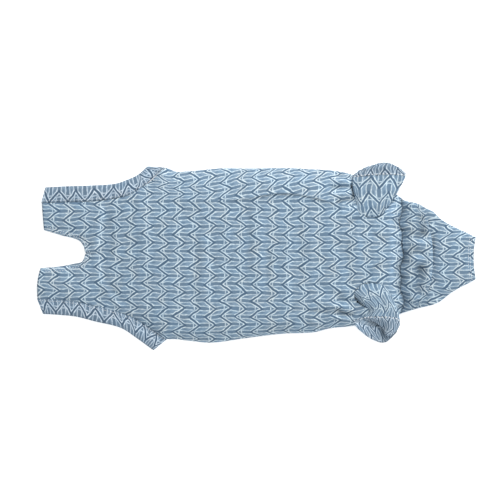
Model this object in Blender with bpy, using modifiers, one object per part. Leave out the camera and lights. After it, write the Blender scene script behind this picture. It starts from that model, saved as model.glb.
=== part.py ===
"""Cat recovery suit: a stretch-jersey bodysuit lying on its back layer, belly side up, neck towards +X.

Every piece is a thin cloth wall and the hollow between the layers stays open. Lengths are in metres.
"""
import math

import bmesh
import bpy
from mathutils import Vector

# Cloth and clearances
CLOTH = 0.0015
GAP = 0.0003
SEAM_GAP = 0.0011

# Plan sizes of the body as it lies flat
TRUNK_LENGTH = 0.272
LEG_OPENING_LENGTH = 0.139
NOTCH_DEPTH = 0.052
NOTCH_WIDTH = 0.045
LEFT_TAB_EXTRA = 0.004
BODY_WIDTH = 0.196
NECK_WIDTH = 0.133
BAND_WIDTH = 0.0172

# Collar sizes
COLLAR_LENGTH = 0.085
COLLAR_END_WIDTH = 0.048
COLLAR_FOLD_BOW = 0.012
COLLAR_BOW_START = 0.33

# Heights of the upper layer above the side seams
BODY_LOFT = 0.018
LEG_OPENING_RISE = 0.0075
BAND_DROOP = 0.2
TAB_END_ROUND = 0.014

# Sleeve sizes
ARMHOLE_ALONG = 0.877
ARMHOLE_LENGTH = 0.041
ARMHOLE_WIDTH = 0.0345
ARMHOLE_INSET = 0.0258
SLEEVE_WIDTH = 0.059
SLEEVE_REACH = 0.045
SLEEVE_LOFT = 0.014
SLEEVE_DROP_RUN = 0.010
SLEEVE_CLEARANCE = 0.0011

# Levels that the layers share
BACK_LEVEL = CLOTH / 2
SEAM_LEVEL = BACK_LEVEL + CLOTH + GAP
NOTCH_X = NOTCH_DEPTH - LEG_OPENING_LENGTH

# Shape of the crown across the body and of the round tail notch
CROWN_POWER = 2.5
CROWN_ROOT = 0.6
NOTCH_POWER = 2.2
NOTCH_RIGHT = 1.22
NOTCH_LEFT = 0.78

# Mesh density
BELLY_ROWS = 8
BACK_ROWS = 4
COLLAR_ROWS = 7
TAB_STEPS = 8
LEG_STEPS = 9
TRUNK_STEPS = 22
SLEEVE_SIDES = 24
COLLAR_STEPS = 15

# Body edges from the tab ends to the neck seam. along: share of the zone's length; right and left:
# share of the local half width; neck: how far that half width has gone from body to neck; crown:
# share of BODY_LOFT.
BODY_SECTIONS = (
    # zone, along, right, left, neck, crown
    ("leg", 0.00, 0.606, 0.556, 0.00, 0.40),
    ("leg", 0.31, 0.611, 0.574, 0.00, 0.42),
    ("leg", 0.47, 0.614, 0.615, 0.00, 0.50),
    ("leg", 0.65, 0.638, 0.697, 0.00, 0.60),
    ("leg", 0.76, 0.700, 0.791, 0.00, 0.70),
    ("leg", 0.87, 0.817, 0.885, 0.00, 0.78),
    ("leg", 0.94, 0.915, 0.940, 0.00, 0.84),
    ("leg", 1.00, 1.000, 0.985, 0.00, 0.88),
    ("trunk", 0.05, 0.960, 0.996, 0.00, 0.92),
    ("trunk", 0.11, 0.969, 1.011, 0.00, 0.96),
    ("trunk", 0.20, 0.987, 1.030, 0.00, 1.00),
    ("trunk", 0.30, 0.995, 1.008, 0.00, 0.98),
    ("trunk", 0.41, 0.993, 0.967, 0.00, 0.93),
    ("trunk", 0.53, 0.997, 0.932, 0.00, 0.97),
    ("trunk", 0.66, 0.977, 0.908, 0.00, 0.92),
    ("trunk", 0.76, 0.962, 0.876, 0.05, 0.94),
    ("trunk", 0.83, 0.974, 0.871, 0.20, 0.92),
    ("trunk", 0.89, 0.996, 0.904, 0.45, 0.86),
    ("trunk", 0.95, 1.006, 0.964, 0.75, 0.62),
    ("trunk", 0.99, 0.992, 1.016, 0.96, 0.44),
    ("trunk", 1.00, 0.987, 1.027, 1.00, 0.44),
)

# Leg bands. along: share of the leg opening; fans: degrees that the band's width leans towards the
# tail; widths: share of BAND_WIDTH.
BAND_SECTIONS = (
    # along, right fan, left fan, right width, left width
    (0.00, -8.0, -2.0, 1.00, 0.84),
    (0.31, 0.0, 12.0, 1.02, 0.95),
    (0.47, 0.0, 15.0, 1.03, 1.03),
    (0.65, 9.0, 27.0, 1.00, 1.00),
    (0.76, 26.0, 33.0, 0.98, 0.95),
    (0.87, 45.0, 38.0, 0.88, 0.98),
    (0.94, 65.0, 43.0, 0.90, 1.10),
    (1.00, 86.0, 49.0, 1.03, 1.25),
)

# Collar. along: share of COLLAR_LENGTH; taper: from the neck's to the end's half width; centre:
# share of NECK_WIDTH; rise: share of BODY_LOFT, with the seam valley, the roll and the flat end.
COLLAR_SECTIONS = (
    # along, taper, centre, rise
    (0.00, 0.00, -0.010, 0.44),
    (0.02, 0.02, -0.012, 0.44),
    (0.11, 0.09, -0.020, 0.70),
    (0.22, 0.16, -0.018, 0.80),
    (0.33, 0.25, -0.026, 0.72),
    (0.41, 0.31, -0.032, 0.50),
    (0.45, 0.34, -0.035, 0.40),
    (0.51, 0.44, -0.045, 0.37),
    (0.64, 0.62, -0.044, 0.36),
    (0.80, 0.80, -0.040, 0.35),
    (0.93, 0.94, -0.040, 0.35),
    (1.00, 1.00, -0.041, 0.36),
)

# Sleeves and cuffs. outs: share of SLEEVE_REACH from the armhole's centre; rise: share of
# SLEEVE_LOFT above that centre; drop: from just over the armhole's rim (0) to the floor (1);
# width: share of SLEEVE_WIDTH; shift and bow: share of SLEEVE_WIDTH.
SLEEVE_RIGHT = (
    # top out, rise, bottom out, drop, width, shift, bow
    (-0.34, 0.45, 0.40, 0.00, 0.76, 0.02, 0.00),
    (-0.22, 0.86, 0.43, 0.04, 0.84, 0.06, 0.00),
    (0.05, 1.00, 0.50, 0.16, 0.92, 0.10, 0.00),
    (0.36, 0.86, 0.60, 0.42, 0.98, 0.13, 0.00),
    (0.62, 0.62, 0.70, 0.64, 1.00, 0.14, 0.02),
)
CUFF_RIGHT = (
    (0.65, 0.58, 0.73, 0.67, 1.00, 0.14, 0.02),
    (0.73, 0.34, 0.76, 0.78, 0.97, 0.14, 0.06),
    (0.76, 0.06, 0.76, 0.88, 0.90, 0.13, 0.12),
)
SLEEVE_LEFT = (
    (-0.34, 0.45, 0.40, 0.00, 0.74, -0.02, 0.00),
    (-0.22, 0.84, 0.43, 0.04, 0.76, -0.02, 0.00),
    (0.04, 0.95, 0.50, 0.16, 0.78, 0.00, 0.00),
    (0.30, 0.72, 0.61, 0.42, 0.80, 0.02, 0.00),
    (0.52, 0.42, 0.70, 0.64, 0.84, 0.04, 0.03),
)
CUFF_LEFT = (
    (0.55, 0.38, 0.73, 0.67, 0.84, 0.04, 0.03),
    (0.64, 0.20, 0.79, 0.80, 0.86, 0.05, 0.08),
    (0.72, 0.02, 0.85, 0.90, 0.80, 0.05, 0.13),
)

# Soft folds of the belly layer. x and y: shares of TRUNK_LENGTH and half BODY_WIDTH; length and
# width: shares of BODY_WIDTH; turn: degrees from +X; height: share of BODY_LOFT, valleys below 0.
BELLY_FOLDS = (
    # x, y, length, width, turn, height
    (-0.18, 0.10, 0.55, 0.05, 80.0, 0.07),
    (0.12, 0.00, 0.60, 0.06, 88.0, -0.05),
    (0.38, -0.10, 0.60, 0.05, 92.0, -0.06),
    (0.62, 0.15, 0.50, 0.05, 96.0, -0.06),
    (0.60, 0.74, 0.55, 0.04, 2.0, -0.08),
    (0.77, 0.52, 0.14, 0.03, 30.0, -0.12),
    (0.74, -0.56, 0.14, 0.03, -30.0, -0.12),
)

PRINT_BLUE = (0.27, 0.38, 0.47, 1.0)
BAND_BLUE = (0.26, 0.36, 0.44, 1.0)


def table_value(rows, x, column):
    """Smooth value of a column at x, through rows whose first entry is x."""
    count = len(rows)
    if x <= rows[0][0]:
        return rows[0][column]
    if x >= rows[-1][0]:
        return rows[-1][column]
    i = next(k for k in range(count - 1) if x <= rows[k + 1][0])

    def slope(k):
        low, high = max(k - 1, 0), min(k + 1, count - 1)
        return (rows[high][column] - rows[low][column]) / (rows[high][0] - rows[low][0])

    span = rows[i + 1][0] - rows[i][0]
    s = (x - rows[i][0]) / span
    start, end = rows[i][column], rows[i + 1][column]
    rise = end - start
    return (start + rise * s * s * (3 - 2 * s)
            + span * s * (1 - s) * (slope(i) * (1 - s) - slope(i + 1) * s))


def body_rows():
    """Body table in metres: x, right edge, left edge, crown."""
    rows = []
    for zone, along, right, left, neck, crown in BODY_SECTIONS:
        x = (along - 1) * LEG_OPENING_LENGTH if zone == "leg" else along * TRUNK_LENGTH
        half = (BODY_WIDTH + (NECK_WIDTH - BODY_WIDTH) * neck) / 2
        rows.append((x, right * half, -left * half, crown * BODY_LOFT))
    return rows


BODY_ROWS = body_rows()


def side_edge(x, side):
    """Edge of the body panels; side is +1 for the wearer's right, -1 for the left."""
    return table_value(BODY_ROWS, x, 1 if side > 0 else 2)


def notch_edge(x, side):
    """Edge of the tail notch, which meets the centre line at its deepest point."""
    share = min((x + LEG_OPENING_LENGTH) / NOTCH_DEPTH, 1.0)
    width = NOTCH_WIDTH / 2 * (NOTCH_RIGHT if side > 0 else NOTCH_LEFT)
    return side * width * (1 - share ** NOTCH_POWER) ** (1 / NOTCH_POWER)


def tab_reach(x, side):
    """How far a point of the left rear tab lies nearer the tail than its mate on the right tab."""
    return max(0.0, NOTCH_X - x) / NOTCH_DEPTH * (LEFT_TAB_EXTRA if side < 0 else 0.0)


def open_edge_rise(x):
    """Height at which the upper layer stands open along a leg opening."""
    share = min(max(x / LEG_OPENING_LENGTH + 1, 0.0), 1.0)
    return LEG_OPENING_RISE * math.sqrt(4 * share * (1 - share))


def fold_height(x, y):
    """Sum of the soft folds at a plan position."""
    total = 0.0
    for fold_x, fold_y, length, width, turn, height in BELLY_FOLDS:
        away = Vector((x - fold_x * TRUNK_LENGTH, y - fold_y * BODY_WIDTH / 2))
        along = Vector((math.cos(math.radians(turn)), math.sin(math.radians(turn))))
        run = away.dot(along) / (length * BODY_WIDTH / 2)
        cross = (away - along * away.dot(along)).length / (width * BODY_WIDTH / 2)
        total += height * BODY_LOFT * math.exp(-run ** 4 - cross ** 2)
    return total


def belly_height(x, across, y):
    """Middle of the belly layer's wall; across is 0 at the centre line or notch, 1 at the side."""
    crown = table_value(BODY_ROWS, x, 3)
    edge = open_edge_rise(x)
    bulge = (1 - across ** CROWN_POWER) ** CROWN_ROOT
    rise = edge + (crown - edge + fold_height(x, y)) * bulge
    from_end = min((x + LEG_OPENING_LENGTH) / TAB_END_ROUND, 1.0)
    return SEAM_LEVEL + rise * math.sqrt(1 - (1 - from_end) ** 2)


def belly_height_at(x, y):
    """Belly height at a plan position in front of the tail notch."""
    side = 1 if y >= 0 else -1
    return belly_height(x, min(y / side_edge(x, side), 1.0), y)


def lofted(name, rows, ring=False):
    """Bmesh skin over rows of points; a ring also joins each row's last point to its first."""
    skin = bmesh.new()
    lines = [[skin.verts.new(point) for point in row] for row in rows]
    for near, far in zip(lines, lines[1:]):
        last = len(near) if ring else len(near) - 1
        for i in range(last):
            j = (i + 1) % len(near)
            skin.faces.new((near[i], near[j], far[j], far[i]))
    mesh = bpy.data.meshes.new(name)
    skin.to_mesh(mesh)
    skin.free()
    return mesh


def cloth_material(name, colour):
    """Matt jersey."""
    material = bpy.data.materials.new(name)
    material.use_nodes = True
    shader = material.node_tree.nodes["Principled BSDF"]
    shader.inputs["Base Color"].default_value = colour
    shader.inputs["Roughness"].default_value = 0.9
    shader.inputs["Metallic"].default_value = 0.0
    return material


def cloth_piece(name, mesh, material):
    """Object of one cloth piece: its skin given the cloth's wall on both sides."""
    skin = bmesh.new()
    skin.from_mesh(mesh)
    bmesh.ops.remove_doubles(skin, verts=skin.verts, dist=0.00001)
    bmesh.ops.recalc_face_normals(skin, faces=skin.faces)
    skin.to_mesh(mesh)
    skin.free()
    mesh.materials.append(material)
    mesh.shade_smooth()
    piece = bpy.data.objects.new(name, mesh)
    suit_parts.objects.link(piece)
    piece.parent = suit_origin
    wall = piece.modifiers.new("wall", "SOLIDIFY")
    wall.thickness = CLOTH
    wall.offset = 0.0
    return piece


def station_positions():
    """X positions of the panel stations, closer together round the notch's deepest point."""
    tab = [NOTCH_DEPTH * math.sin(math.pi / 2 * k / TAB_STEPS) - LEG_OPENING_LENGTH
           for k in range(TAB_STEPS)]
    leg = [NOTCH_X * (1 - k / LEG_STEPS) for k in range(LEG_STEPS)]
    trunk = [TRUNK_LENGTH * k / TRUNK_STEPS for k in range(TRUNK_STEPS + 1)]
    return tab + leg + trunk


def panel_half(side, height, across_steps):
    """Rows of one half of a body panel, from the notch or centre line to the side edge."""
    rows = []
    for x in station_positions():
        inner, outer = notch_edge(x, side), side_edge(x, side)
        row = []
        for k in range(across_steps + 1):
            across = math.sin(math.pi / 2 * k / across_steps)
            y = inner + (outer - inner) * across
            row.append((x - tab_reach(x, side), y, height(x, across, y)))
        rows.append(row)
    return rows


def body_panel(name, height, across_steps, material):
    """Whole panel: both halves, merged along the centre line in front of the notch."""
    skin = bmesh.new()
    for side in (1, -1):
        skin.from_mesh(lofted(name + "_half", panel_half(side, height, across_steps)))
    mesh = bpy.data.meshes.new(name)
    skin.to_mesh(mesh)
    skin.free()
    return cloth_piece(name, mesh, material)


def armhole_centre(side):
    """Plan centre of an armhole, set in from the side of the body."""
    x = TRUNK_LENGTH * ARMHOLE_ALONG
    return x, side_edge(x, side) - side * ARMHOLE_INSET


def cut_armhole(panel, side):
    """Oval hole through the belly layer for one sleeve."""
    x, y = armhole_centre(side)
    tall = BODY_LOFT * 4
    shape = bmesh.new()
    bmesh.ops.create_cone(shape, cap_ends=True, segments=SLEEVE_SIDES, radius1=0.5, radius2=0.5,
                          depth=1.0)
    bmesh.ops.scale(shape, vec=(ARMHOLE_LENGTH, ARMHOLE_WIDTH, tall), verts=shape.verts)
    bmesh.ops.translate(shape, vec=(x, y, SEAM_LEVEL + tall / 2), verts=shape.verts)
    mesh = bpy.data.meshes.new("armhole_cutter")
    shape.to_mesh(mesh)
    shape.free()
    cutter = bpy.data.objects.new("armhole_cutter", mesh)
    cutters.objects.link(cutter)
    cutter.parent = suit_origin
    cutter.hide_render = True
    cutter.display_type = "WIRE"
    hole = panel.modifiers.new("armhole", "BOOLEAN")
    hole.operation = "DIFFERENCE"
    hole.solver = "EXACT"
    hole.object = cutter


def rest_level(x, y):
    """Lowest middle of a sleeve's wall that clears what it lies on: the belly layer, or the floor."""
    beyond = abs(y) - abs(side_edge(x, 1 if y > 0 else -1))
    share = min(max(1 - beyond / SLEEVE_DROP_RUN, 0.0), 1.0)
    return CLOTH + (belly_height_at(x, y) + SLEEVE_CLEARANCE) * share


def ring_angles():
    return [2 * math.pi * k / SLEEVE_SIDES for k in range(SLEEVE_SIDES)]


def sleeve_root(side, lift):
    """Ring standing in the armhole, at a height above the belly layer's middle."""
    x, y = armhole_centre(side)
    inset = GAP + CLOTH / 2
    ring = []
    for angle in ring_angles():
        px = x + (ARMHOLE_LENGTH / 2 - inset) * math.cos(angle)
        py = y + side * (ARMHOLE_WIDTH / 2 - inset) * -math.sin(angle)
        ring.append((px, py, belly_height_at(px, py) + lift))
    return ring


def sleeve_ring(side, section):
    """Oval ring of a sleeve or cuff section; its top is on the side of the body's centre line."""
    top_out, rise, bottom_out, drop, width, shift, bow = section
    x, y = armhole_centre(side)
    rim_y = y + side * ARMHOLE_WIDTH / 2
    over_rim = belly_height_at(x, rim_y) + 2 * CLOTH
    top = Vector((top_out * SLEEVE_REACH, belly_height_at(x, y) + rise * SLEEVE_LOFT))
    bottom = Vector((bottom_out * SLEEVE_REACH, over_rim + (CLOTH - over_rim) * drop))
    middle, arm = (top + bottom) / 2, (top - bottom) / 2
    ring = []
    for angle in ring_angles():
        out, z = middle + arm * math.sin(angle)
        out += bow * SLEEVE_WIDTH * math.sin(angle) ** 2
        px, py = x + SLEEVE_WIDTH * (shift + width / 2 * math.cos(angle)), y + side * out
        ring.append((px, py, max(z, rest_level(px, py))))
    return ring


def collar_ring(along):
    """Flattened tube section: level under layer, side folds and crowned upper layer."""
    rows = COLLAR_SECTIONS
    taper, centre = table_value(rows, along, 1), table_value(rows, along, 2)
    half = (NECK_WIDTH + (COLLAR_END_WIDTH - NECK_WIDTH) * taper) / 2
    x = TRUNK_LENGTH + SEAM_GAP + along * (COLLAR_LENGTH - SEAM_GAP)
    y = centre * NECK_WIDTH
    shares = [math.sin(math.pi / 2 * k / COLLAR_ROWS) for k in range(-COLLAR_ROWS, COLLAR_ROWS + 1)]
    under = [(x, y + half * share, BACK_LEVEL) for share in shares]
    upper = []
    for share in reversed(shares):
        bow = COLLAR_FOLD_BOW / COLLAR_LENGTH * share ** 2 * min(along / COLLAR_BOW_START, 1.0)
        rise = table_value(rows, min(along + bow, 1.0), 3) * BODY_LOFT
        bulge = (1 - abs(share) ** CROWN_POWER) ** CROWN_ROOT
        upper.append((x, y + half * share, SEAM_LEVEL + rise * bulge))
    fold_level = (BACK_LEVEL + SEAM_LEVEL) / 2
    right_fold = (x, y + half + CLOTH / 2, fold_level)
    left_fold = (x, y - half - CLOTH / 2, fold_level)
    return under + [right_fold] + upper + [left_fold]


def band_loops(side):
    """Inner, middle and outer edge of a leg band, each once round over belly and back layer."""
    fan, width = (1, 3) if side > 0 else (2, 4)
    steps = TAB_STEPS + LEG_STEPS
    loops = [[], [], []]
    upper = [k / steps for k in range(steps + 1)]
    for layer, shares in (("belly", upper), ("back", reversed(upper))):
        for along in shares:
            x = (along - 1) * LEG_OPENING_LENGTH
            lean = math.radians(table_value(BAND_SECTIONS, along, fan))
            aim = Vector((-math.sin(lean), side * math.cos(lean)))
            seam = Vector((x - tab_reach(x, side), side_edge(x, side)))
            wide = BAND_WIDTH * table_value(BAND_SECTIONS, along, width)
            for loop, share in zip(loops, (0.0, 0.5, 1.0)):
                point = seam + aim * (SEAM_GAP + wide * share)
                height = BACK_LEVEL
                if layer == "belly":
                    height = belly_height(x, 1.0, seam.y) - open_edge_rise(x) * BAND_DROOP * share
                loop.append((point.x, point.y, height))
    return loops


# Empty scene, with one collection for the suit and one for its cutters
for item in list(bpy.data.objects):
    bpy.data.objects.remove(item, do_unlink=True)
suit_parts = bpy.data.collections.new("cat_recovery_suit")
cutters = bpy.data.collections.new("cutters")
bpy.context.scene.collection.children.link(suit_parts)
bpy.context.scene.collection.children.link(cutters)
suit_origin = bpy.data.objects.new("suit_origin", None)
suit_parts.objects.link(suit_origin)

printed_jersey = cloth_material("printed_jersey", PRINT_BLUE)
band_jersey = cloth_material("band_jersey", BAND_BLUE)

# Body panels: the back layer lies level on the floor and the belly layer is crowned over it
back_panel = body_panel("back_panel", lambda x, across, y: BACK_LEVEL, BACK_ROWS, printed_jersey)
belly_panel = body_panel("belly_panel", belly_height, BELLY_ROWS, printed_jersey)

# Collar tube
collar_rings = [collar_ring(k / COLLAR_STEPS) for k in range(COLLAR_STEPS + 1)]
cloth_piece("collar", lofted("collar", collar_rings, ring=True), printed_jersey)

# Sleeves, cuffs and leg bands
SIDES = (("right", 1, SLEEVE_RIGHT, CUFF_RIGHT), ("left", -1, SLEEVE_LEFT, CUFF_LEFT))
for label, side, sleeve_table, cuff_table in SIDES:
    cut_armhole(belly_panel, side)
    rings = [sleeve_root(side, -CLOTH / 2), sleeve_root(side, CLOTH)]
    rings += [sleeve_ring(side, section) for section in sleeve_table]
    cloth_piece("sleeve_" + label, lofted("sleeve_" + label, rings, ring=True), printed_jersey)
    rings = [sleeve_ring(side, section) for section in cuff_table]
    cloth_piece("cuff_" + label, lofted("cuff_" + label, rings, ring=True), band_jersey)
    band = lofted("leg_band_" + label, band_loops(side), ring=True)
    cloth_piece("leg_band_" + label, band, band_jersey)

# The suit's origin is the middle of its footprint, on the floor
bpy.context.view_layer.update()
corners = [Vector(vertex.co) for piece in suit_parts.objects if piece.type == "MESH"
           for vertex in piece.evaluated_get(bpy.context.evaluated_depsgraph_get()).data.vertices]
for axis in (0, 1):
    values = [corner[axis] for corner in corners]
    suit_origin.location[axis] = -(min(values) + max(values)) / 2
suit_origin.location[2] = -min(corner.z for corner in corners)
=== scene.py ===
import bisect
import math

import bmesh
import bpy
from mathutils import Matrix, Vector, noise


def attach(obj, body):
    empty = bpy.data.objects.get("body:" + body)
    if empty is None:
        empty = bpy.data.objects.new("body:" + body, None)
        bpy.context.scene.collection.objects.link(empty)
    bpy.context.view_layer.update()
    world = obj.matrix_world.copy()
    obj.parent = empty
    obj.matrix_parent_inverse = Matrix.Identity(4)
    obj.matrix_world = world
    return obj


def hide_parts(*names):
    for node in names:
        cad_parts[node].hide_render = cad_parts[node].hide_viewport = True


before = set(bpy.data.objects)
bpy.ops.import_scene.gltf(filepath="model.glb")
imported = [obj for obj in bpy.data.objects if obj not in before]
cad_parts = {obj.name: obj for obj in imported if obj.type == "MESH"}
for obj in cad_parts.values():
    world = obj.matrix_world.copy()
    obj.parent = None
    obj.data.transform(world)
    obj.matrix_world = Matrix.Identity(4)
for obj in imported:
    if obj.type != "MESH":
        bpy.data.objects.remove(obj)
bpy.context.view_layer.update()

# Studio: a camera that looks straight down on the suit as it lies, with a long lens so that
# the heights of the folds hardly shift the outline. The floor is a plain white table.
MM = 0.001
scene = bpy.context.scene
scene.view_settings.view_transform = "Standard"
lens = bpy.data.cameras.new("camera")
lens.lens = 150.0
lens.sensor_width = 36.0
# how much of the table the picture takes in, and where its middle is
VIEW_WIDTH = 575.0 * MM
VIEW_CENTRE = (-8.05 * MM, 9.55 * MM)
camera = bpy.data.objects.new("camera", lens)
camera.location = (*VIEW_CENTRE, VIEW_WIDTH * lens.lens / lens.sensor_width)
scene.collection.objects.link(camera)
scene.camera = camera


def fill_in(node, inputs):
    """Sets inputs of a shader node, each to a number, a colour or another node's output."""
    for label, value in inputs.items():
        if isinstance(value, bpy.types.NodeSocket):
            node.id_data.links.new(value, node.inputs[label])
        else:
            node.inputs[label].default_value = value


floor_mesh = bpy.data.meshes.new("table")
table = bmesh.new()
bmesh.ops.create_grid(table, x_segments=1, y_segments=1, size=6.0)
table.to_mesh(floor_mesh)
table.free()
floor = bpy.data.objects.new("table_top", floor_mesh)
scene.collection.objects.link(floor)
white = bpy.data.materials.new("white table")
white.use_nodes = True
fill_in(white.node_tree.nodes["Principled BSDF"], {
    "Base Color": (0.9, 0.9, 0.9, 1.0),
    "Roughness": 0.9,
    "Emission Color": (1.0, 1.0, 1.0, 1.0),
    "Emission Strength": 0.6,
})
floor_mesh.materials.append(white)

sky = bpy.data.worlds.new("studio")
sky.use_nodes = True
fill_in(sky.node_tree.nodes["Background"], {"Color": (0.97, 0.985, 1.0, 1.0), "Strength": 0.55})
scene.world = sky


def studio_light(name, place, size, power):
    """A large soft lamp that points at the suit."""
    lamp = bpy.data.lights.new(name, "AREA")
    lamp.shape = "SQUARE"
    lamp.size = size
    lamp.energy = power
    stand = bpy.data.objects.new(name, lamp)
    stand.location = place
    stand.rotation_euler = Vector(place).to_track_quat("Z", "Y").to_euler()
    scene.collection.objects.link(stand)


studio_light("window side", (0.75, 1.35, 1.3), 0.8, 26.4)
studio_light("fill", (-0.6, -1.2, 1.6), 1.2, 3.0)


# Belly panel: the layer that faces up. One piece of thin printed cotton jersey, cut with two
# rear tabs and a tail notch between them, turned under at the notch and serged to the back.

# Sizes and places are in millimetres: thickness of the jersey, y of the centre line, x of the
# notch's closed end and of the neck seam. Then the net, and the share of its length on the tabs
CLOTH = 1.0
CENTRE_LINE = 5.4
NOTCH_END = -179.4
NECK_SEAM = 166.2
BELLY_COLUMNS = 208
BELLY_ROWS = 50
TAB_SHARE = 36 / BELLY_COLUMNS

# along the outer edge, then the inner edge's x and y and the outer edge's y
RIGHT_HALF = (
    (-247.0, -244.6, 32.4, 63.6),
    (-226.5, -225.9, 26.7, 64.1),
    (-207.0, -205.8, 21.2, 64.7),
    (-193.2, -199.2, 14.0, 65.3),
    (-179.4, -195.8, 5.4, 66.5),
    (-167.9, -184.0, 5.4, 68.0),
    (-157.5, -169.0, 5.4, 69.6),
    (-148.3, -155.2, 5.4, 72.2),
    (-135.7, -139.1, 5.4, 79.1),
    (-121.9, -123.0, 5.4, 88.9),
    (-111.5, -111.5, 5.4, 99.2),
    (-104.6, -104.6, 5.4, 103.8),
    (-93.1, -93.1, 5.4, 99.7),
    (-75.9, -75.9, 5.4, 100.4),
    (-39.1, -39.1, 5.4, 103.6),
    (-8.0, -8.0, 5.4, 103.2),
    (28.7, 28.7, 5.4, 104.0),
    (65.5, 65.5, 5.4, 102.4),
    (94.3, 94.3, 5.4, 100.0),
    (110.4, 110.4, 5.4, 96.0),
    (135.7, 135.7, 5.4, 88.9),
    (152.9, 152.9, 5.4, 77.6),
    (166.2, 166.2, 5.4, 68.6),
)
LEFT_HALF = (
    (-252.0, -248.7, -11.2, -46.2),
    (-226.5, -222.2, -9.0, -47.5),
    (-207.0, -203.9, -6.6, -49.7),
    (-193.2, -199.2, -2.0, -52.6),
    (-179.4, -195.8, 5.4, -56.3),
    (-167.9, -184.0, 5.4, -58.9),
    (-157.5, -169.0, 5.4, -61.8),
    (-148.3, -155.2, 5.4, -65.4),
    (-135.7, -139.1, 5.4, -71.5),
    (-121.9, -123.0, 5.4, -80.7),
    (-111.5, -111.5, 5.4, -88.0),
    (-104.6, -104.6, 5.4, -92.4),
    (-93.1, -93.1, 5.4, -93.0),
    (-75.9, -75.9, 5.4, -95.0),
    (-51.7, -51.7, 5.4, -96.9),
    (-8.0, -8.0, 5.4, -91.1),
    (28.7, 28.7, 5.4, -86.8),
    (65.5, 65.5, 5.4, -85.0),
    (83.9, 83.9, 5.4, -80.5),
    (111.1, 111.1, 5.4, -77.5),
    (135.7, 135.7, 5.4, -71.0),
    (152.9, 152.9, 5.4, -67.0),
    (166.2, 166.2, 5.4, -63.4),
)
# along, height of the inner line, swell between the lines, height of the outer line, tab share
BELLY_LEVELS = (
    (-250.7, 3.2, 3.0, 3.5, 1.0),
    (-226.5, 3.2, 3.5, 6.0, 1.0),
    (-207.0, 3.4, 4.0, 7.5, 1.0),
    (-193.2, 4.2, 4.0, 8.2, 0.9),
    (-179.4, 5.5, 3.0, 8.5, 0.7),
    (-157.5, 9.5, 1.0, 8.0, 0.3),
    (-135.7, 13.0, 0.0, 6.0, 0.0),
    (-121.9, 14.5, 0.0, 4.2, 0.0),
    (-108.1, 15.5, 0.0, 2.4, 0.0),
    (-93.1, 16.5, 0.0, 1.8, 0.0),
    (-39.1, 17.5, 0.0, 1.8, 0.0),
    (49.4, 17.8, 0.0, 1.8, 0.0),
    (106.9, 17.0, 0.0, 1.8, 0.0),
    (146.0, 15.6, 0.0, 1.8, 0.0),
    (152.0, 14.6, 0.0, 1.8, 0.0),
    (157.0, 12.4, 0.0, 1.8, 0.0),
    (160.5, 9.4, 0.0, 1.8, 0.0),
    (163.5, 6.2, 0.0, 1.8, 0.0),
    (166.2, 4.0, 0.0, 1.8, 0.0),
)
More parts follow.
